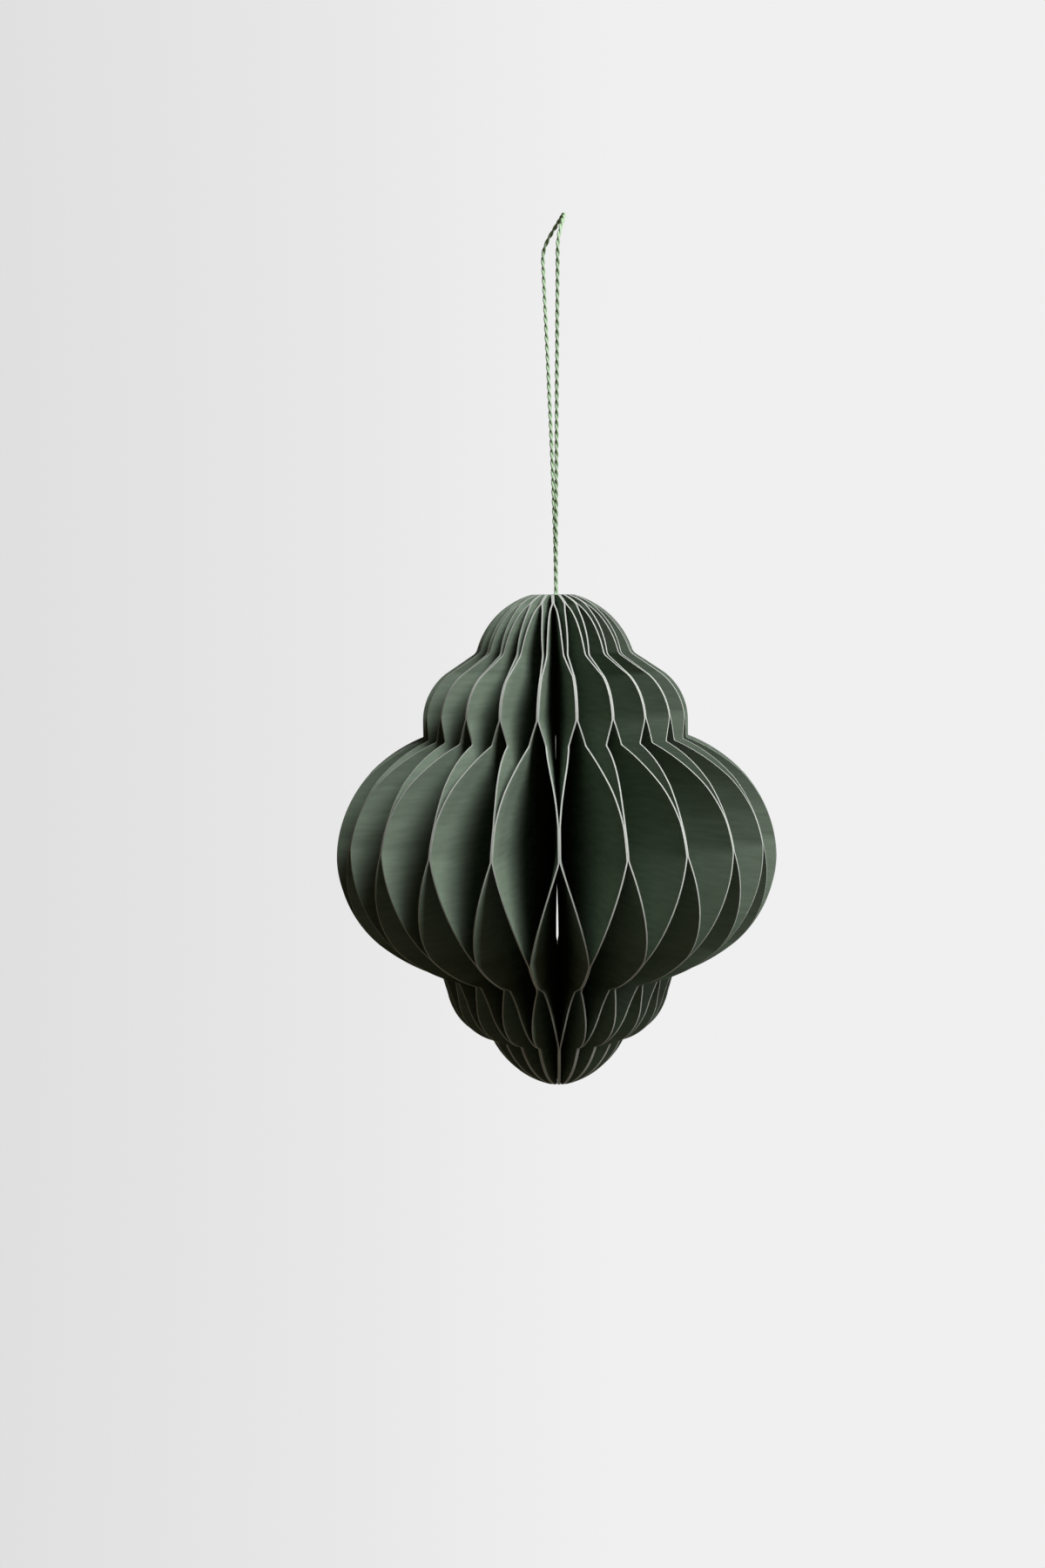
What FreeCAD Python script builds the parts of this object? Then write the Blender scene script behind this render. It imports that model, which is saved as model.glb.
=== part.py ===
import FreeCAD, Part
import math
import os

# A hanging honeycomb paper ornament: equal leaves of paper, glued to each other along
# level bands and fanned round an upright hollow core, hung from a loop of thin twine.
# Lengths are in millimetres. The origin is where a hook bears on the loop from below,
# and +Z is up, so the ornament hangs below the origin on the Z axis.

# The stack of leaves
LEAF_COUNT = 44
PAPER = 0.25
GLUE = 0.02
CORE_RADIUS = 2.0
FIRST_PAIR_ANGLE = -89.6

# The leaf's cut edge from the top down: radius of each corner and its depth below the top
TOP_RADIUS = 4.1
CAP_RADIUS = 14.2
CAP_DEPTH = 10.4
SHOULDER_RADIUS = 19.85
SHOULDER_DEPTH = 14.2
COLLAR_RADIUS = 24.05
COLLAR_DEPTH = 22.85
COLLAR_END = 25.65
UPPER_BELLY_RADIUS = 34.1
UPPER_BELLY_DEPTH = 32.2
BELLY_RADIUS = 40.0
BELLY_DEPTH = 47.5
UNDER_BELLY_RADIUS = 33.1
UNDER_BELLY_DEPTH = 62.3
WAIST_RADIUS = 21.4
WAIST_DEPTH = 68.8
BOWL_RADIUS = 20.3
BOWL_DEPTH = 72.45
NECK_RADIUS = 12.3
NECK_DEPTH = 80.9
FOOT_RADIUS = 2.8
HEIGHT = 89.6

# How far each rounded stretch stands out from the straight line between its corners
CAP_BULGE = 1.95
COLLAR_BULGE = 1.1
SHOULDER_BULGE = 0.6
UPPER_BELLY_BULGE = 1.5
BELLY_BULGE = 1.75
UNDER_BELLY_BULGE = 0.65
BOWL_BULGE = 1.7
FOOT_BULGE = 1.3
CAP_NOTCH_FILLET = 1.6
NOTCH_FILLET = 0.4

# Depths below the top where glue bands start and end. In an odd band a leaf is glued to
# its neighbour on one side, and in an even band to its neighbour on the other side.
BAND_1_END = 1.6
BAND_2_START = 13.8
BAND_2_END = 21.3
BAND_3_START = 38.0
BAND_3_END = 43.7
BAND_4_START = 62.2
BAND_4_END = 67.6
BAND_5_START = 80.3

# How a leaf crosses from one neighbour to the other below each band: shares of the way
# down to the next band, each with the share of the way across. A straight crossing has none.
CROSSING_1 = [(0.05, 0.3), (0.13, 0.52), (0.35, 0.7), (0.66, 0.84)]
CROSSING_2 = [(0.23, 0.38), (0.46, 0.67), (0.7, 0.88)]
CROSSING_3 = []
CROSSING_4 = [(0.14, 0.22), (0.6, 0.7)]

# The twine and its loop
TWINE = 0.7
TAIL_DEPTH = 24.0
TAIL_OFFSET = 1.2
EXIT_RISE = 5.0
LOOP_HEIGHT = 66.9

MARGIN = 1.0
RUN_SHARE = 0.45
PITCH = 360.0 / LEAF_COUNT
HALF_PITCH = math.radians(PITCH / 2)


def arc_through(start, end, bulge):
    """The edge from start to end in the XZ plane, standing out to its left by bulge."""
    if not bulge:
        return Part.LineSegment(start, end).toShape()
    chord = end - start
    out = FreeCAD.Vector(-chord.z, 0, chord.x)
    out.normalize()
    middle = (start + end) * 0.5 + out * bulge
    return Part.Arc(start, middle, end).toShape()


def leaf_outline():
    """The flat leaf: half of the ornament's outline, with its straight inner edge."""
    corners = [
        (CORE_RADIUS, 0, 0),
        (TOP_RADIUS, 0, 0),
        (CAP_RADIUS, CAP_DEPTH, CAP_BULGE),
        (SHOULDER_RADIUS, SHOULDER_DEPTH, 0),
        (COLLAR_RADIUS, COLLAR_DEPTH, COLLAR_BULGE),
        (COLLAR_RADIUS, COLLAR_END, 0),
        (UPPER_BELLY_RADIUS, UPPER_BELLY_DEPTH, SHOULDER_BULGE),
        (BELLY_RADIUS, BELLY_DEPTH, UPPER_BELLY_BULGE),
        (UNDER_BELLY_RADIUS, UNDER_BELLY_DEPTH, BELLY_BULGE),
        (WAIST_RADIUS, WAIST_DEPTH, UNDER_BELLY_BULGE),
        (BOWL_RADIUS, BOWL_DEPTH, 0),
        (NECK_RADIUS, NECK_DEPTH, BOWL_BULGE),
        (FOOT_RADIUS, HEIGHT, FOOT_BULGE),
        (CORE_RADIUS, HEIGHT, 0),
    ]
    edges = []
    points = [FreeCAD.Vector(radius, 0, -depth) for radius, depth, bulge in corners]
    for i in range(1, len(points)):
        edges.append(arc_through(points[i - 1], points[i], corners[i][2]))
    edges.append(Part.LineSegment(points[-1], points[0]).toShape())
    return Part.Wire(edges)


def swing_spans():
    """How a leaf swings between its two neighbours, as (depth, swing) points, span by span.

    A swing of 1 lies against one neighbour and -1 against the other.
    """
    bands = [
        (-MARGIN, BAND_1_END),
        (BAND_2_START, BAND_2_END),
        (BAND_3_START, BAND_3_END),
        (BAND_4_START, BAND_4_END),
        (BAND_5_START, HEIGHT + MARGIN),
    ]
    crossings = [CROSSING_1, CROSSING_2, CROSSING_3, CROSSING_4]
    spans = []
    side = 1
    for i, (start, end) in enumerate(bands):
        spans.append([(start, side), (end, side)])
        if i < len(crossings):
            way_down = bands[i + 1][0] - end
            inner = [
                (end + down * way_down, side * (1 - 2 * across))
                for down, across in crossings[i]
            ]
            spans.append([(end, side)] + inner + [(bands[i + 1][0], -side)])
        side = -side
    return spans


def lean(radius):
    """How far off its own plane a leaf lies at this radius when glued to a neighbour."""
    return radius * math.tan(HALF_PITCH) - (PAPER + GLUE) / (2 * math.cos(HALF_PITCH))


def span_edge(span, radius, offset):
    """The line of one paper face at this radius along one span."""
    points = [
        FreeCAD.Vector(radius, swing * lean(radius) + offset, -depth) for depth, swing in span
    ]
    if len(points) == 2:
        return Part.LineSegment(points[0], points[1]).toShape()
    curve = Part.BSplineCurve()
    curve.interpolate(Points=points, Parameters=[float(depth) for depth, swing in span])
    return curve.toShape()


def waved_slab():
    """A waved sheet of paper, larger than the leaf, straight along every level radius."""
    inner = (PAPER + GLUE) / (2 * math.sin(HALF_PITCH))
    outer = BELLY_RADIUS + MARGIN
    spans = swing_spans()
    faces = []
    rims = []
    for radius in (inner, outer):
        front = [span_edge(span, radius, PAPER / 2) for span in spans]
        back = [span_edge(span, radius, -PAPER / 2) for span in spans]
        ends = []
        for depth, swing in (spans[0][0], spans[-1][-1]):
            middle = swing * lean(radius)
            ends.append(
                Part.LineSegment(
                    FreeCAD.Vector(radius, middle + PAPER / 2, -depth),
                    FreeCAD.Vector(radius, middle - PAPER / 2, -depth),
                ).toShape()
            )
        rims.append(front + back + ends)
    for near, far in zip(rims[0], rims[1]):
        faces.append(Part.makeRuledSurface(near, far))
    for rim in rims:
        faces.append(Part.Face(Part.Wire(Part.sortEdges(rim)[0])))
    shell = Part.makeShell(faces)
    shell.sewShape()
    return Part.makeSolid(shell)


def rounded_notch(blank, radius, depth, fillet):
    """The blank with the cut edge's inner corner at this radius and depth rounded."""
    for edge in blank.Edges:
        middle = edge.CenterOfMass
        if math.hypot(middle.x - radius, middle.z + depth) < 0.01 and edge.Length > PAPER:
            return blank.makeFillet(fillet, [edge])
    raise ValueError("no corner at radius %.2f, depth %.2f" % (radius, depth))


def leaf_blank():
    """The flat leaf as a thick block, with its notches rounded as the cutting die has them."""
    reach = 2 * lean(BELLY_RADIUS)
    face = Part.Face(leaf_outline())
    face.translate(FreeCAD.Vector(0, -reach, 0))
    blank = face.extrude(FreeCAD.Vector(0, 2 * reach, 0))
    blank = rounded_notch(blank, CAP_RADIUS, CAP_DEPTH, CAP_NOTCH_FILLET)
    blank = rounded_notch(blank, COLLAR_RADIUS, COLLAR_END, NOTCH_FILLET)
    blank = rounded_notch(blank, WAIST_RADIUS, WAIST_DEPTH, NOTCH_FILLET)
    return rounded_notch(blank, NECK_RADIUS, NECK_DEPTH, NOTCH_FILLET)


def cut_leaf():
    """One leaf: the waved sheet inside the block of its outline."""
    return leaf_blank().common(waved_slab())


def one_solid(shape):
    """The single solid in shape."""
    assert len(shape.Solids) == 1, "a leaf should be one solid"
    return shape.Solids[0]


def fanned_leaves():
    """All the leaves round the core, every second one turned over, under their node names."""
    leaf = one_solid(cut_leaf())
    turned_over = leaf.mirror(FreeCAD.Vector(0, 0, 0), FreeCAD.Vector(0, 1, 0))
    leaves = {}
    for i in range(LEAF_COUNT):
        copy = (turned_over if i % 2 else leaf).copy()
        copy.rotate(
            FreeCAD.Vector(0, 0, 0), FreeCAD.Vector(0, 0, 1), FIRST_PAIR_ANGLE + (i - 0.5) * PITCH
        )
        copy.translate(FreeCAD.Vector(0, 0, -LOOP_HEIGHT))
        leaves["leaf_%02d" % (i + 1)] = copy
    return leaves


def cord_route():
    """The twine's route: up from the core, round the hook, and back down behind it."""
    return [
        (-0.15, -TAIL_OFFSET, -LOOP_HEIGHT - TAIL_DEPTH),
        (-0.15, -TAIL_OFFSET, -LOOP_HEIGHT + EXIT_RISE),
        (0.2, -7.8, -4.4),
        (1.5, -3.4, TWINE / 2),
        (0.8, 3.4, TWINE / 2),
        (-2.6, 7.8, -4.4),
        (0.15, TAIL_OFFSET, -LOOP_HEIGHT + EXIT_RISE),
        (0.15, TAIL_OFFSET, -LOOP_HEIGHT - TAIL_DEPTH),
    ]


def cord_path(route):
    """Straight runs joined by tangent arcs, each as large as its two runs allow."""
    points = [FreeCAD.Vector(*point) for point in route]
    edges = []
    run_start = points[0]
    for before, corner, after in zip(points, points[1:], points[2:]):
        run_in = corner - before
        run_out = after - corner
        half_turn = run_in.getAngle(run_out) / 2
        tangent = RUN_SHARE * min(run_in.Length, run_out.Length)
        radius = tangent / math.tan(half_turn)
        print("cord bend radius %.1f" % radius)
        run_in.normalize()
        run_out.normalize()
        arc_start = corner - run_in * tangent
        arc_end = corner + run_out * tangent
        inward = run_out - run_in
        inward.normalize()
        arc_middle = corner + inward * (radius / math.cos(half_turn) - radius)
        edges.append(Part.LineSegment(run_start, arc_start).toShape())
        edges.append(Part.Arc(arc_start, arc_middle, arc_end).toShape())
        run_start = arc_end
    edges.append(Part.LineSegment(run_start, points[-1]).toShape())
    return Part.Wire(edges)


def hanging_cord():
    """The twine loop as one plain round tube."""
    path = cord_path(cord_route())
    start = path.Vertexes[0].Point
    end_face = Part.Wire(Part.makeCircle(TWINE / 2, start, FreeCAD.Vector(0, 0, 1)))
    tube = path.makePipeShell([end_face], True, False)
    section = math.pi * TWINE ** 2 / 4
    print("cord length %.1f" % path.Length)
    print("cord volume %.3f, section times length %.3f" % (tube.Volume, section * path.Length))
    return one_solid(tube)


def main():
    os.makedirs("parts", exist_ok=True)
    nodes = fanned_leaves()
    nodes["hanging_cord"] = hanging_cord()
    for name, shape in nodes.items():
        shape.exportStep("parts/%s.step" % name)
    print("%d nodes" % len(nodes))


main()
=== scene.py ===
# %% [markdown]
# This lesson dresses a hanging honeycomb paper ornament. The imported model already holds
# every leaf and the twine at real size, in metres, with the origin where a hook bears on
# the loop. Loading it first gives a fixed frame to build on, and the first leaf's box is
# kept.

# %% Load the imported model
import math
import random

import bmesh
import bpy
import numpy as np
from mathutils import Matrix, Vector


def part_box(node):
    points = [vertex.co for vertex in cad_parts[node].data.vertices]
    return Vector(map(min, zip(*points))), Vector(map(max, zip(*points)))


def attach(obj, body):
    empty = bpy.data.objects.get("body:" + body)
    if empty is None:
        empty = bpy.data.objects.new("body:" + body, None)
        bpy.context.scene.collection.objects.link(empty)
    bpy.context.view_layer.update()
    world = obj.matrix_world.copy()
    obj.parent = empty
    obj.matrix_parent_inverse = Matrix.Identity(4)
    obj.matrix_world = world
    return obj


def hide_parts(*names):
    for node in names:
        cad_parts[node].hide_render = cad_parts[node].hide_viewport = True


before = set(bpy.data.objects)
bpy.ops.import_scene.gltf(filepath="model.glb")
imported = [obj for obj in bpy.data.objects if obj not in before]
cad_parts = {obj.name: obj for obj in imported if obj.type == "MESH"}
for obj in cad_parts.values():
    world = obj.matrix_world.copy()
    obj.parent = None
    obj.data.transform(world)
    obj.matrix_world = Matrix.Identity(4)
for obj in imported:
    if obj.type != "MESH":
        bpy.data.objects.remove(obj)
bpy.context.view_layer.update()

MM = 0.001
ball_low, ball_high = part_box("leaf_01")
print("ball from %.4f to %.4f m below the hook" % (-ball_high.z, -ball_low.z))

# %% [markdown]
# The camera stands in front of the ornament, a little above its top, and looks slightly
# down. It could be placed by eye, but the rings that equal corners of the leaves make in
# the picture fix its height, distance and tilt, so those are plain values here. A small
# sideways shift frames the ornament just right of the middle without turning the view.

# %% The camera
PICTURE_WIDTH = 1200
PICTURE_HEIGHT = 1800
AXIS_ACROSS = 639.2
CAMERA_DISTANCE = 395.3 * MM
CAMERA_ABOVE_TOP = 4.47 * MM
CAMERA_TILT = 5.62

lens = bpy.data.cameras.new("front_camera")
lens.lens = 50
lens.sensor_width = 36
lens.shift_x = (PICTURE_WIDTH / 2 - AXIS_ACROSS) / PICTURE_HEIGHT
camera = bpy.data.objects.new("front_camera", lens)
camera.location = (0, -CAMERA_DISTANCE, ball_high.z + CAMERA_ABOVE_TOP)
camera.rotation_euler = (math.radians(90 - CAMERA_TILT), 0, 0)
bpy.context.scene.collection.objects.link(camera)
bpy.context.scene.camera = camera
print("camera at", [round(value, 4) for value in camera.location])

# %% [markdown]
# The twine is one fixed length that rises from the hollow core, goes over a hook that is
# not part of the object, and comes down again behind itself. It carries the ornament, so
# it is straight but for the bend at the hook. Its line is a NURBS curve on the route's
# points: the curve never shows a corner, while points joined by straight pieces would.

# %% The twine's line
ROUTE = [
    (-0.00015, -0.0012, -0.0909),
    (-0.00015, -0.0012, -0.0619),
    (0.000175, -0.007321, -0.008573),
    (0.0002, -0.0078, -0.0044),
    (0.0015, -0.0034, 0.00035),
    (0.0008, 0.0034, 0.00035),
    (-0.0026, 0.0078, -0.0044),
    (-0.002401, 0.007322, -0.008568),
    (0.00015, 0.0012, -0.0619),
    (0.00015, 0.0012, -0.0909),
]


def curve_of(name, kind, points):
    """A curve object with one open spline through or along the points."""
    curve = bpy.data.curves.new(name, "CURVE")
    curve.dimensions = "3D"
    spline = curve.splines.new(kind)
    spline.points.add(len(points) - 1)
    for control, place in zip(spline.points, points):
        control.co = (*place, 1)
    if kind == "NURBS":
        spline.order_u = 3
        spline.use_endpoint_u = True
        spline.resolution_u = 24
    return bpy.data.objects.new(name, curve)


def mesh_of(holder):
    """The mesh that a curve object shows. The curve itself isn't kept."""
    mesh = bpy.data.meshes.new_from_object(holder)
    bpy.data.curves.remove(holder.data)
    return mesh


def evenly_spaced(points, step):
    """Points at equal steps along the line through the given ones, and how far along."""
    points = np.array(points)
    way = np.concatenate(([0], np.cumsum(np.linalg.norm(np.diff(points, axis=0), axis=1))))
    stops = np.linspace(0, way[-1], int(way[-1] / step) + 1)
    places = zip(*[np.interp(stops, way, axis) for axis in points.T])
    return [Vector(place) for place in places], stops


line_mesh = mesh_of(curve_of("twine_line", "NURBS", ROUTE))
line_points = [tuple(vertex.co) for vertex in line_mesh.vertices]
bpy.data.meshes.remove(line_mesh)
TWINE_STEP = 0.2 * MM
twine_line, twine_stops = evenly_spaced(line_points, TWINE_STEP)

# %% [markdown]
# Real cotton twine is two plies laid round each other. A plain tube with a striped colour
# would look flat where the light catches it, so each ply is its own thin tube that winds
# round the twine's line. The turning frame is carried along the line, because a frame
# worked out afresh at each point would spin at the bend over the hook.

# %% Two plies wound round the line
PLY_RADIUS = 0.2 * MM
PLY_OFFSET = 0.17 * MM
LAY_LENGTH = 3.5 * MM


def wound_ply(line, stops, start_turn):
    """The places along one ply, which winds to the left round the line."""
    across = Vector((1, 0, 0))
    places = []
    for i, place in enumerate(line):
        along = (line[min(i + 1, len(line) - 1)] - line[max(i - 1, 0)]).normalized()
        across = (across - along * across.dot(along)).normalized()
        beside = along.cross(across)
        turn = start_turn - 2 * math.pi * stops[i] / LAY_LENGTH
        places.append(place + PLY_OFFSET * (math.cos(turn) * across + math.sin(turn) * beside))
    return places


def new_piece(name, shape, *finishes):
    """A piece of the ornament from a bmesh, at the origin, with its finishes."""
    mesh = bpy.data.meshes.new(name)
    shape.to_mesh(mesh)
    shape.free()
    for finish in finishes:
        mesh.materials.append(finish)
    piece = bpy.data.objects.new(name, mesh)
    bpy.context.scene.collection.objects.link(piece)
    return piece


def two_plies():
    """Both plies as one bmesh of closed tubes."""
    shape = bmesh.new()
    for start_turn in (0, math.pi):
        ply = curve_of("ply", "POLY", wound_ply(twine_line, twine_stops, start_turn))
        ply.data.bevel_depth = PLY_RADIUS
        ply.data.bevel_resolution = 2
        ply.data.use_fill_caps = True
        tube = mesh_of(ply)
        shape.from_mesh(tube)
        bpy.data.meshes.remove(tube)
    for face in shape.faces:
        face.smooth = True
    return shape


# %% [markdown]
# Everything on the ornament is fibre: pressed into paper or spun into twine. One node
# group makes that fibre as level streaks and soft clouds, and each finish sets its own
# scale and strength. The group gives out only a colour and a height, and the shader stays
# in the material, where the export can read it.

# %% The fibre group


def fibre_group():
    """A node group that breaks a colour up into fibre and gives its height."""
    group = bpy.data.node_groups.new("fibre", "ShaderNodeTree")
    sockets = group.interface
    sockets.new_socket("Colour", in_out="INPUT", socket_type="NodeSocketColor")
    for name, value in (
        ("Streak scale", 300.0),
        ("Streak length", 6.0),
        ("Streak strength", 0.1),
        ("Cloud scale", 60.0),
        ("Cloud strength", 0.1),
    ):
        socket = sockets.new_socket(name, in_out="INPUT", socket_type="NodeSocketFloat")
        socket.default_value = value
    sockets.new_socket("Colour", in_out="OUTPUT", socket_type="NodeSocketColor")
    sockets.new_socket("Height", in_out="OUTPUT", socket_type="NodeSocketFloat")
    nodes, link = group.nodes, group.links.new
    given = nodes.new("NodeGroupInput")
    result = nodes.new("NodeGroupOutput")
    place = nodes.new("ShaderNodeTexCoord").outputs["Object"]

    def worked_out(first, second, operation):
        node = nodes.new("ShaderNodeMath")
        node.operation = operation
        for socket, value in zip(node.inputs, (first, second)):
            if isinstance(value, float):
                socket.default_value = value
            else:
                link(value, socket)
        return node.outputs[0]

    squeeze = nodes.new("ShaderNodeCombineXYZ")
    level_scale = worked_out(given.outputs["Streak scale"], given.outputs["Streak length"], "DIVIDE")
    link(level_scale, squeeze.inputs["X"])
    link(level_scale, squeeze.inputs["Y"])
    link(given.outputs["Streak scale"], squeeze.inputs["Z"])
    stretched = nodes.new("ShaderNodeVectorMath")
    stretched.operation = "MULTIPLY"
    link(place, stretched.inputs[0])
    link(squeeze.outputs[0], stretched.inputs[1])

    def noise_of(vector, scale, detail):
        node = nodes.new("ShaderNodeTexNoise")
        node.inputs["Detail"].default_value = detail
        link(vector, node.inputs["Vector"])
        if isinstance(scale, float):
            node.inputs["Scale"].default_value = scale
        else:
            link(scale, node.inputs["Scale"])
        return node.outputs["Fac"]

    streak = noise_of(stretched.outputs[0], 1.0, 3.0)
    cloud = noise_of(place, given.outputs["Cloud scale"], 2.0)
    streak_part = worked_out(
        worked_out(streak, 0.5, "SUBTRACT"), given.outputs["Streak strength"], "MULTIPLY"
    )
    cloud_part = worked_out(
        worked_out(cloud, 0.5, "SUBTRACT"), given.outputs["Cloud strength"], "MULTIPLY"
    )
    shade = worked_out(worked_out(streak_part, cloud_part, "ADD"), 1.0, "ADD")
    tint = nodes.new("ShaderNodeVectorMath")
    tint.operation = "SCALE"
    link(given.outputs["Colour"], tint.inputs[0])
    link(shade, tint.inputs["Scale"])
    link(tint.outputs[0], result.inputs["Colour"])
    link(streak, result.inputs["Height"])
    return group


FIBRE = fibre_group()
print("fibre group has", len(FIBRE.nodes), "nodes")


def fibre_finish(name, colour, settings, roughness, relief, relief_depth):
    """A matt fibre material: the group's colour and height on a plain shader."""
    finish = bpy.data.materials.new(name)
    finish.use_nodes = True
    nodes, link = finish.node_tree.nodes, finish.node_tree.links.new
    shader = nodes["Principled BSDF"]
    fibre = nodes.new("ShaderNodeGroup")
    fibre.node_tree = FIBRE
    fibre.inputs["Colour"].default_value = (*colour, 1)
    for socket, value in settings.items():
        fibre.inputs[socket].default_value = value
    link(fibre.outputs["Colour"], shader.inputs["Base Color"])
    shader.inputs["Roughness"].default_value = roughness
    shader.inputs["Specular IOR Level"].default_value = 0.3
    bump = nodes.new("ShaderNodeBump")
    bump.inputs["Strength"].default_value = relief
    bump.inputs["Distance"].default_value = relief_depth
    link(fibre.outputs["Height"], bump.inputs["Height"])
    link(bump.outputs["Normal"], shader.inputs["Normal"])
    return finish


# %% [markdown]
# The paper is dyed a deep grey-green, matt, with a faint level grain. Where the die cut
# it, the edge is paler, because the cut opens the fibres and the dye sits in them less.
# So a leaf has two finishes, one for its faces and one for its cut edge.

# %% Paper and twine finishes
GREEN = (0.2, 0.262, 0.198)
CUT_GREEN = (0.62, 0.65, 0.61)
MINT = (0.52, 0.72, 0.48)

paper_face = fibre_finish(
    "green_paper",
    GREEN,
    {"Streak scale": 1500.0, "Streak length": 8.0, "Streak strength": 0.5,
     "Cloud scale": 110.0, "Cloud strength": 0.12},
    roughness=0.72, relief=0.25, relief_depth=0.03 * MM,
)
paper_edge = fibre_finish(
    "cut_edge",
    CUT_GREEN,
    {"Streak scale": 1500.0, "Streak length": 1.0, "Streak strength": 0.3,
     "Cloud scale": 300.0, "Cloud strength": 0.2},
    roughness=0.9, relief=0.3, relief_depth=0.03 * MM,
)
cotton = fibre_finish(
    "green_cotton",
    MINT,
    {"Streak scale": 5000.0, "Streak length": 4.0, "Streak strength": 0.4,
     "Cloud scale": 500.0, "Cloud strength": 0.15},
    roughness=0.85, relief=0.5, relief_depth=0.05 * MM,
)

twine = new_piece("twine_loop", two_plies(), cotton)
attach(twine, "root")
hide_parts("hanging_cord")
print("twine has", len(twine.data.polygons), "faces")

# %% [markdown]
# Every leaf is cut with the same die: a flat half outline with a cap, a collar, a round
# belly, a bowl and a pointed foot. The outline is drawn as with a pen: one vertex is
# extruded row by row from corner to corner and lifted by the height of an arc, so every
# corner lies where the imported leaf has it. A vertex bevel then rounds the notches.

# %% The die's outline
CORE_RADIUS = 1.83 * MM
TOP_RADIUS = 3.9 * MM
ROW = 0.75 * MM
FILLET_SEGMENTS = 4
# Radius, depth and bulge of the stretch that ends there, and the fillet of a notch, in mm
CORNERS = [
    (14.2, 10.4, 1.95, 1.6),
    (19.85, 14.2, 0, 0),
    (24.05, 22.85, 1.1, 0),
    (24.05, 25.65, 0, 0.4),
    (34.1, 32.2, 0.6, 0),
    (40.0, 47.5, 1.5, 0),
    (33.1, 62.3, 1.75, 0),
    (21.4, 68.8, 0.65, 0.4),
    (20.3, 72.45, 0, 0),
    (12.3, 80.9, 1.7, 0.4),
    (2.8, 89.6, 1.3, 0),
]


def draw_on(shape, pen, end, bulge):
    """Extrudes the pen's vertex row by row to the end, along an arc that bulges outwards."""
    start = pen.co.copy()
    chord = end - start
    outward = Vector((-chord.z, 0, chord.x)).normalized()
    rows = math.ceil(chord.length / ROW)
    radius = (chord.length ** 2 / 4 + bulge ** 2) / (2 * bulge) if bulge else 0
    for row in range(1, rows + 1):
        pen = bmesh.ops.extrude_vert_indiv(shape, verts=[pen])["verts"][0]
        pen.co = start + chord * row / rows
        if bulge:
            along = chord.length * (row / rows - 0.5)
            pen.co += outward * (math.sqrt(radius ** 2 - along ** 2) - radius + bulge)
    return pen


def die_outline():
    """The leaf's cut edge as a line of edges in the plane of radius and height."""
    shape = bmesh.new()
    pen = shape.verts.new((TOP_RADIUS, 0, 0))
    notches = []
    for radius, depth, bulge, fillet in CORNERS:
        pen = draw_on(shape, pen, Vector((radius * MM, 0, -depth * MM)), bulge * MM)
        if fillet:
            notches.append((pen, fillet * MM))
    for corner, fillet in notches:
        first, second = [edge.other_vert(corner).co - corner.co for edge in corner.link_edges]
        setback = fillet / math.tan(first.angle(second) / 2)
        bmesh.ops.bevel(
            shape, geom=[corner], offset=setback, offset_type="OFFSET",
            segments=FILLET_SEGMENTS, profile=0.5, affect="VERTICES", material=-1,
        )
    return shape


outline = die_outline()
print("outline has", len(outline.edges), "edges")

# %% [markdown]
# The flat leaf fills the space between that outline and the hollow core. Extruding the
# outline's edges straight in to the core gives one strip of paper for each row, and
# dividing the strips into columns lets the paper bend. Filling the outline with a single
# face would be quicker, but such a face can't follow the waves.

# %% The flat leaf
PAPER_COLUMNS = 12
SAME_PLACE = 0.001 * MM


def flat_leaf(outline):
    """The outline filled with rows and columns of faces, as flat as it was cut."""
    drawn = bmesh.ops.extrude_edge_only(outline, edges=outline.edges[:])
    inner = [part for part in drawn["geom"] if isinstance(part, bmesh.types.BMVert)]
    for vertex in inner:
        vertex.co.x = CORE_RADIUS
    bmesh.ops.remove_doubles(outline, verts=outline.verts[:], dist=SAME_PLACE)
    inner = set(vertex for vertex in inner if vertex.is_valid)
    across = [
        edge for edge in outline.edges
        if abs(edge.verts[0].co.z - edge.verts[1].co.z) < SAME_PLACE
        and (edge.verts[0] in inner) != (edge.verts[1] in inner)
    ]
    bmesh.ops.subdivide_edges(outline, edges=across, cuts=PAPER_COLUMNS - 1)
    return outline


leaf_pattern = flat_leaf(outline)
print("flat leaf has", len(leaf_pattern.faces), "faces")

# %% [markdown]
# In the honeycomb a leaf is glued to one neighbour, swings across to the other, is glued
# there, and swings back. Along a band it lies flat against its neighbour, and between two
# bands it takes the curve of stiff paper. A natural spline through a few points of each
# crossing gives that curve and is the same for every radius, since the paper stays
# straight from the core to its edge.

# %% How a leaf swings between its neighbours
LEAF_COUNT = 44
PAPER = 0.25 * MM
GLUE = 0.02 * MM
FIRST_PAIR_ANGLE = -89.6
PITCH = 360 / LEAF_COUNT
HALF_PITCH = math.radians(PITCH / 2)
# Depths in mm where the glue bands start and end
BANDS = [(-1.0, 1.6), (13.8, 21.3), (38.0, 43.7), (62.2, 67.6), (80.3, 90.5)]
# Share of the way down to the next band, and share of the way across
CROSSINGS = [
    [(0.05, 0.3), (0.13, 0.52), (0.35, 0.7), (0.66, 0.84)],
    [(0.23, 0.38), (0.46, 0.67), (0.7, 0.88)],
    [],
    [(0.14, 0.22), (0.6, 0.7)],
]


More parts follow.
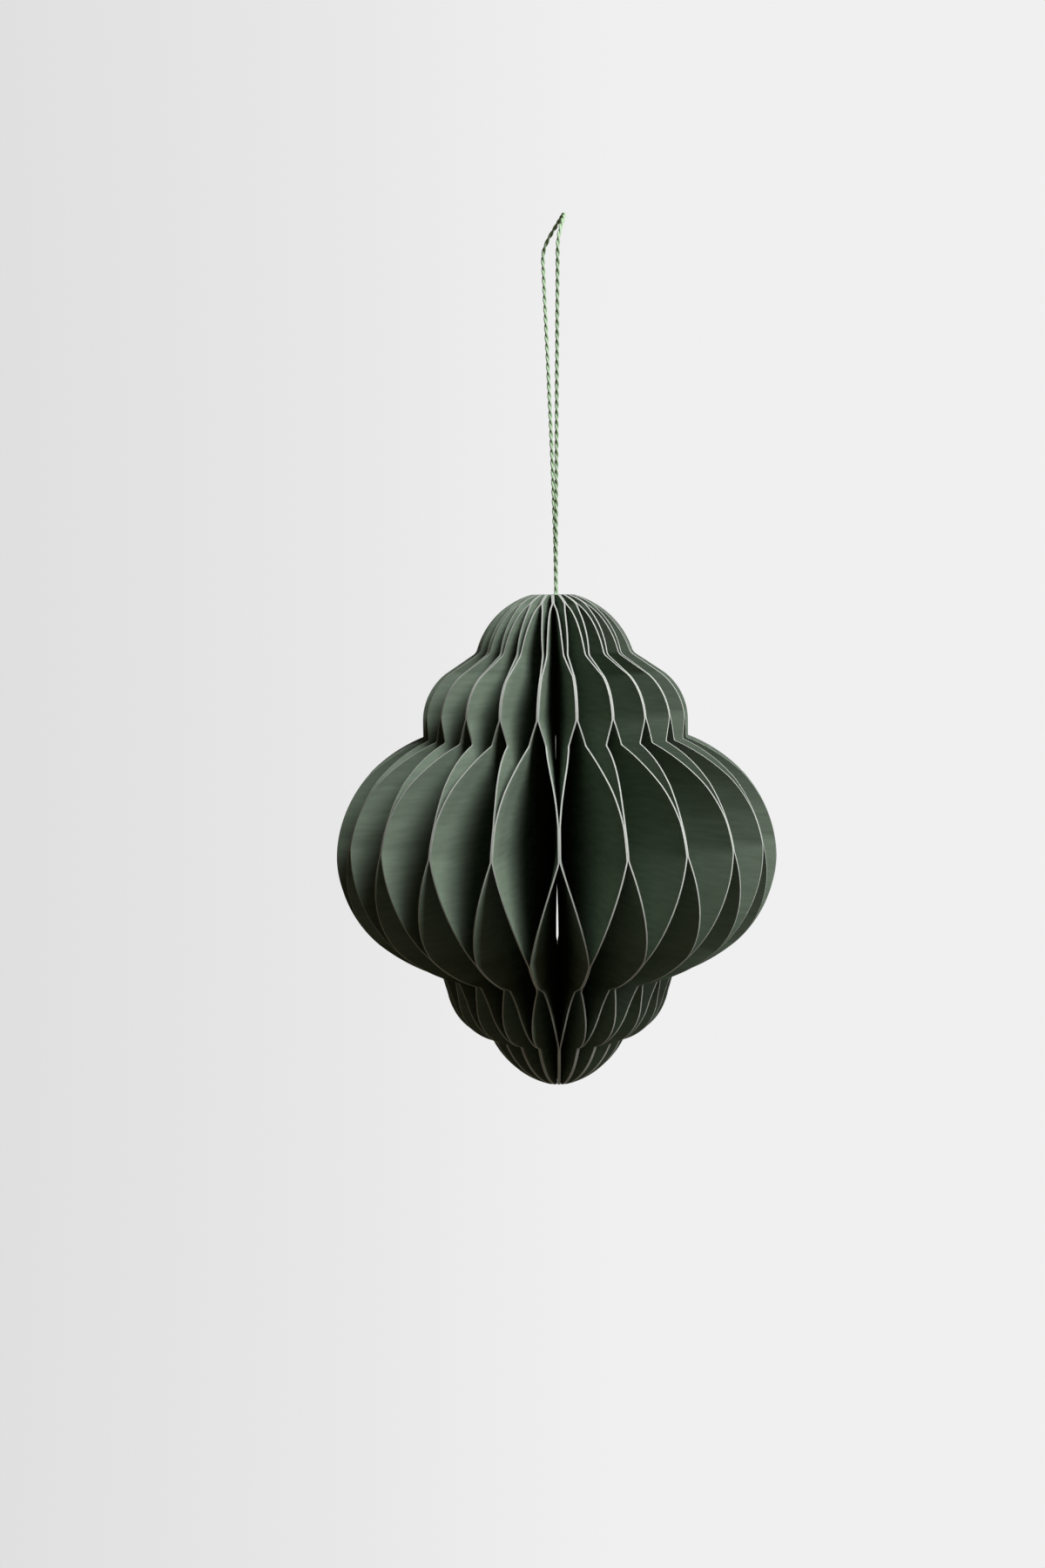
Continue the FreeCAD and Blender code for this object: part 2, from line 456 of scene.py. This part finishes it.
def natural_spline(knots):
    """A function for the smooth curve through the knots, straight at both ends."""
    x, y = (np.array(values, float) for values in zip(*knots))
    gap = np.diff(x)
    system = np.eye(len(x))
    bend = np.zeros(len(x))
    for i in range(1, len(x) - 1):
        system[i, i - 1:i + 2] = gap[i - 1], 2 * (gap[i - 1] + gap[i]), gap[i]
        bend[i] = 6 * ((y[i + 1] - y[i]) / gap[i] - (y[i] - y[i - 1]) / gap[i - 1])
    bend = np.linalg.solve(system, bend)

    def value(at):
        i = min(max(int(np.searchsorted(x, at)) - 1, 0), len(gap) - 1)
        left, right = at - x[i], x[i + 1] - at
        return (
            (bend[i] * right ** 3 + bend[i + 1] * left ** 3) / (6 * gap[i])
            + (y[i] / gap[i] - bend[i] * gap[i] / 6) * right
            + (y[i + 1] / gap[i] - bend[i + 1] * gap[i] / 6) * left
        )

    return value


def share_down(depth):
    """The band above this depth, and how far the leaf has crossed to the next one."""
    for band, (start, end) in enumerate(BANDS):
        if depth <= end:
            return band, 0.0
        if band < len(CROSSINGS) and depth < BANDS[band + 1][0]:
            down = (depth - end) / (BANDS[band + 1][0] - end)
            return band, float(CROSSING_CURVES[band](down))
    return len(BANDS) - 1, 0.0


CROSSING_CURVES = [natural_spline([(0, 0), *points, (1, 1)]) for points in CROSSINGS]
print("share across halfway down each crossing:",
      [round(float(curve(0.5)), 3) for curve in CROSSING_CURVES])

# %% [markdown]
# No two cells of a glued ornament open quite alike. At each station, which is an end of a
# glue band or the notch under the cap, each joint is turned a little, and both leaves at a
# joint share the turn, so they stay glued. Turning whole leaves instead would tear the
# joints open. Most joints that face the viewer have turns chosen to match what is seen
# there, and the rest have small ones from a fixed random seed.

# %% Small irregularities of the joints
JOINT_TURN = 0.35
STATION_DEPTHS = (0, 1.6, 10.4, 13.8, 21.3, 38.0, 43.7, 62.2, 67.6, 80.3, 89.6)
STATION_BANDS = (0, 0, 1, 1, 1, 2, 2, 3, 3, 4, 4)
# Station, its leftmost joint in front, and the turns in degrees of every second joint
# from there to the right
FRONT_TURNS = [
    (2, -3, (-1.9, 1.0, -0.8, -1.3, -2.0, -3.0)),
    (3, -3, (-0.5, 0.75, 0.9, 0.5, 0.3, -0.3)),
    (4, -7, (-0.3, 0.4, 0.8, 0.5, 0.3, -0.45, -0.6, -0.65, -0.1)),
    (5, -8, (-0.4, -0.4, -0.1, 0.25, 0.35, 0.6, 0.5, 0.3, -0.2)),
    (6, -8, (-0.4, -0.4, -0.1, 0.25, 0.35, 0.6, 0.5, 0.3, -0.2)),
    (7, -5, (-0.3, -0.3, -0.3, 0.9, 1.4, 1.4)),
    (8, -5, (-0.3, -0.3, -0.3, 1.0, 1.8, 2.0)),
    (9, 0, (0.4,)),
    (10, 0, (0.4,)),
]
chance = random.Random(11)
station_turns = [[chance.gauss(0, JOINT_TURN) for joint in range(LEAF_COUNT)]
                 for station in STATION_DEPTHS]
for station, first, turns in FRONT_TURNS:
    for step, turn in enumerate(turns):
        station_turns[station][(first + 2 * step) % LEAF_COUNT] = turn


def leaf_rows(leaf):
    """For each depth in the pattern, the leaf's swing and its extra turn in radians."""
    joints = [leaf if (leaf + band) % 2 == 0 else leaf - 1 for band in STATION_BANDS]
    turns = [own[joint] for own, joint in zip(station_turns, joints)]
    rows = {}
    for vertex in leaf_pattern.verts:
        depth = round(-vertex.co.z / MM, 4)
        if depth not in rows:
            band, across = share_down(depth)
            side = 1 if band % 2 == 0 else -1
            turn = float(np.interp(depth, STATION_DEPTHS, turns))
            rows[depth] = (side * (1 - 2 * across), math.radians(turn))
    return rows


# %% [markdown]
# One leaf is a copy of the flat pattern. Each point moves off the leaf's own plane by the
# swing at its depth, the sheet is extruded by the paper's thickness, and the whole leaf is
# turned to its place round the core. Every second leaf is turned over, which is what makes
# the cells. A turned-over mesh points inwards, so its normals are worked out again. Last,
# the whole ornament leans a little, since it doesn't hang quite straight on its twine.

# %% Wave, thicken and place one leaf
BELLY_DEPTH = 47.5 * MM
HANG_TILT = 0.5
# The ornament hangs a little askew on its twine, turned about the middle of the belly
belly_middle = Vector((0, 0, ball_high.z - BELLY_DEPTH))
askew = (
    Matrix.Translation(belly_middle)
    @ Matrix.Rotation(math.radians(-HANG_TILT), 4, "Y")
    @ Matrix.Translation(-belly_middle)
)
# Leaves whose inner edge has come away from the core, and how far, as (depth, radius) in mm
LOOSE_LEAVES = (0, 1, 22, 23)
LOOSE_EDGE = [
    (25, 1.8), (26, 2.3), (30, 2.3), (31, 1.8), (53, 1.8), (55, 2.5), (58, 3.2), (63, 3.2),
    (63.6, 1.8),
]
# Down to this depth the cap leans a little further over, by this much at the very top
CAP_DEPTH = 12 * MM
CAP_LEAN = -0.3 * MM
# A face whose normal lies less along the leaf's own than this is part of its cut edge
FACE_NORMAL = 0.6
CREASE = 40


def lean(radius):
    """How far off its own plane a leaf lies at this radius when glued to a neighbour."""
    return radius * math.tan(HALF_PITCH) - (PAPER + GLUE) / (2 * math.cos(HALF_PITCH))


def waved_leaf(leaf):
    """The leaf as a closed waved sheet, in its place round the core."""
    shape = leaf_pattern.copy()
    over = -1 if leaf % 2 else 1
    plane_angle = math.radians(FIRST_PAIR_ANGLE + (leaf - 0.5) * PITCH)
    rows = leaf_rows(leaf)
    if leaf in LOOSE_LEAVES:
        depths, radii = zip(*LOOSE_EDGE)
        for vertex in shape.verts:
            edge_radius = float(np.interp(-vertex.co.z / MM, depths, radii)) * MM
            vertex.co.x = max(vertex.co.x, edge_radius)
    for vertex in shape.verts:
        swing, turn = rows[round(-vertex.co.z / MM, 4)]
        vertex.co.y = over * (swing * lean(vertex.co.x)) + PAPER / 2
        vertex.co.rotate(Matrix.Rotation(turn, 3, "Z"))
    thick = bmesh.ops.extrude_face_region(shape, geom=shape.faces[:])
    far_side = [part for part in thick["geom"] if isinstance(part, bmesh.types.BMVert)]
    bmesh.ops.translate(shape, verts=far_side, vec=(0, -PAPER, 0))
    bmesh.ops.recalc_face_normals(shape, faces=shape.faces[:])
    for face in shape.faces:
        rim = abs(face.normal.y) < FACE_NORMAL
        face.material_index = 1 if rim else 0
        face.smooth = True
    for edge in shape.edges:
        if edge.calc_face_angle(0) > math.radians(CREASE):
            edge.smooth = False
    place = askew @ Matrix.Translation((0, 0, ball_high.z)) @ Matrix.Rotation(plane_angle, 4, "Z")
    bmesh.ops.transform(shape, matrix=place, verts=shape.verts[:])
    for vertex in shape.verts:
        above = vertex.co.z - ball_high.z + CAP_DEPTH
        vertex.co.x += CAP_LEAN * max(above, 0) / CAP_DEPTH
    return shape


# %% [markdown]
# Now all the leaves are made, each in place of its packed leaf, which is hidden. One mesh
# for the whole ornament would be shorter to write, but single leaves keep the way it is
# really put together, and each leaf has its own turns.

# %% All the leaves
for leaf in range(LEAF_COUNT):
    node = "leaf_%02d" % (leaf + 1)
    paper = new_piece("paper_" + node, waved_leaf(leaf), paper_face, paper_edge)
    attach(paper, "root")
    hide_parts(node)
leaf_pattern.free()
print("each leaf has", len(paper.data.polygons), "faces")

# %% [markdown]
# The ornament hangs in front of a pale wall far behind it, whose grey has painted shade that makes
# it darker towards the left, as if the daylight from the right fell on it. A floor disc stays plain
# under the ornament and fades out before its rim, so it keeps the soft shadow without drawing a
# horizon, and what lies past it is the pale world. Only rays from the camera see that pale colour:
# the light on the ornament is a softer level of its own.

# %% Floor
FLOOR_BELOW_HOOK = 1.0
FLOOR_RADIUS = 0.8
FADE_STARTS = 0.3 * FLOOR_RADIUS
FADE_ENDS = 0.9 * FLOOR_RADIUS


def floor_finish():
    """A pale matt floor that fades out towards its rim."""
    finish = bpy.data.materials.new("pale_floor")
    finish.use_nodes = True
    nodes, link = finish.node_tree.nodes, finish.node_tree.links.new
    shader = nodes["Principled BSDF"]
    shader.inputs["Base Color"].default_value = (0.8, 0.8, 0.8, 1)
    shader.inputs["Roughness"].default_value = 0.9
    place = nodes.new("ShaderNodeTexCoord")
    distance = nodes.new("ShaderNodeVectorMath")
    distance.operation = "LENGTH"
    fade = nodes.new("ShaderNodeMapRange")
    fade.inputs["From Min"].default_value = FADE_STARTS
    fade.inputs["From Max"].default_value = FADE_ENDS
    fade.inputs["To Min"].default_value = 1
    fade.inputs["To Max"].default_value = 0
    link(place.outputs["Object"], distance.inputs[0])
    link(distance.outputs["Value"], fade.inputs["Value"])
    link(fade.outputs[0], shader.inputs["Alpha"])
    return finish


floor_shape = bmesh.new()
bmesh.ops.create_circle(floor_shape, cap_ends=True, radius=FLOOR_RADIUS, segments=64)
floor = new_piece("floor", floor_shape, floor_finish())
floor.location.z = -FLOOR_BELOW_HOOK
print("floor lies %.2f m below the hook" % FLOOR_BELOW_HOOK)

# %% [markdown]
# The light is soft daylight from the right: one large lamp well above, a weaker one low and
# further round that picks out the cut edges on that side, and a very dim sky. Large lamps
# give the soft edge of the shade inside the cells, where small ones would draw hard lines
# across the paper.

# %% Light
KEY_SIZE = 0.45
KEY_DISTANCE = 0.9
KEY_RIGHT = 45
KEY_UP = 47
KEY_WATTS = 7.9
SIDE_RIGHT = 75
SIDE_UP = 12
SIDE_WATTS = 2.0
UPPER_SKY = (0.055, 0.045, 0.04)
LOWER_SKY = (0.06, 0.045, 0.02)
# Greys of the wall from left to right as the camera sees it, with their share of the way across;
# painted shade makes the left darker
WALL_GREYS_WITH_PAINTED_SHADE = [(0, 0.74), (0.3, 0.8), (0.55, 0.87), (1, 0.87)]
WALL_HALF_WIDTH = 0.25


def soft_lamp(name, size, distance, right, up, watts):
    """A square lamp aimed at the ornament, so many degrees right of the camera and up."""
    lamp = bpy.data.lights.new(name, "AREA")
    lamp.size = size
    lamp.energy = watts
    holder = bpy.data.objects.new(name, lamp)
    right, up = math.radians(right), math.radians(up)
    away = Vector((math.sin(right) * math.cos(up), -math.cos(right) * math.cos(up), math.sin(up)))
    middle = Vector((0, 0, (ball_low.z + ball_high.z) / 2))
    holder.location = middle + distance * away
    holder.rotation_euler = away.to_track_quat("Z", "Y").to_euler()
    bpy.context.scene.collection.objects.link(holder)


soft_lamp("key_lamp", KEY_SIZE, KEY_DISTANCE, KEY_RIGHT, KEY_UP, KEY_WATTS)
soft_lamp("side_lamp", KEY_SIZE, KEY_DISTANCE, SIDE_RIGHT, SIDE_UP, SIDE_WATTS)


def pale_world():
    """A dim sky for the light, and a pale wall with painted shade on its left where the camera looks
    past everything.
    """
    world = bpy.data.worlds.new("pale_world")
    world.use_nodes = True
    nodes, link = world.node_tree.nodes, world.node_tree.links.new
    sky = nodes["Background"]
    sky.inputs["Strength"].default_value = 1.0
    place = nodes.new("ShaderNodeTexCoord")
    parts = nodes.new("ShaderNodeSeparateXYZ")
    link(place.outputs["Generated"], parts.inputs[0])

    def ramp_of(value, low, high, stops):
        spread = nodes.new("ShaderNodeMapRange")
        spread.inputs["From Min"].default_value = low
        spread.inputs["From Max"].default_value = high
        ramp = nodes.new("ShaderNodeValToRGB")
        link(value, spread.inputs["Value"])
        link(spread.outputs[0], ramp.inputs["Fac"])
        points = ramp.color_ramp.elements
        while len(points) < len(stops):
            points.new(0.5)
        for point, (at, colour) in zip(points, stops):
            point.position = at
            point.color = (*colour, 1)
        return ramp.outputs["Color"]

    sky_light = ramp_of(
        parts.outputs["Z"], -1, 1, [(0.4, LOWER_SKY), (0.6, UPPER_SKY)]
    )
    # The wall's grey darkens towards the left: painted shade of the daylight from the right, seen
    # only by camera rays.
    wall = ramp_of(
        parts.outputs["X"], -WALL_HALF_WIDTH, WALL_HALF_WIDTH,
        [(at, (grey, grey, grey)) for at, grey in WALL_GREYS_WITH_PAINTED_SHADE],
    )
    seen = nodes.new("ShaderNodeLightPath")
    choice = nodes.new("ShaderNodeMix")
    choice.data_type = "RGBA"
    link(seen.outputs["Is Camera Ray"], choice.inputs["Factor"])
    link(sky_light, choice.inputs["A"])
    link(wall, choice.inputs["B"])
    link(choice.outputs["Result"], sky.inputs["Color"])
    return world


bpy.context.scene.world = pale_world()
bpy.context.scene.view_settings.view_transform = "Standard"
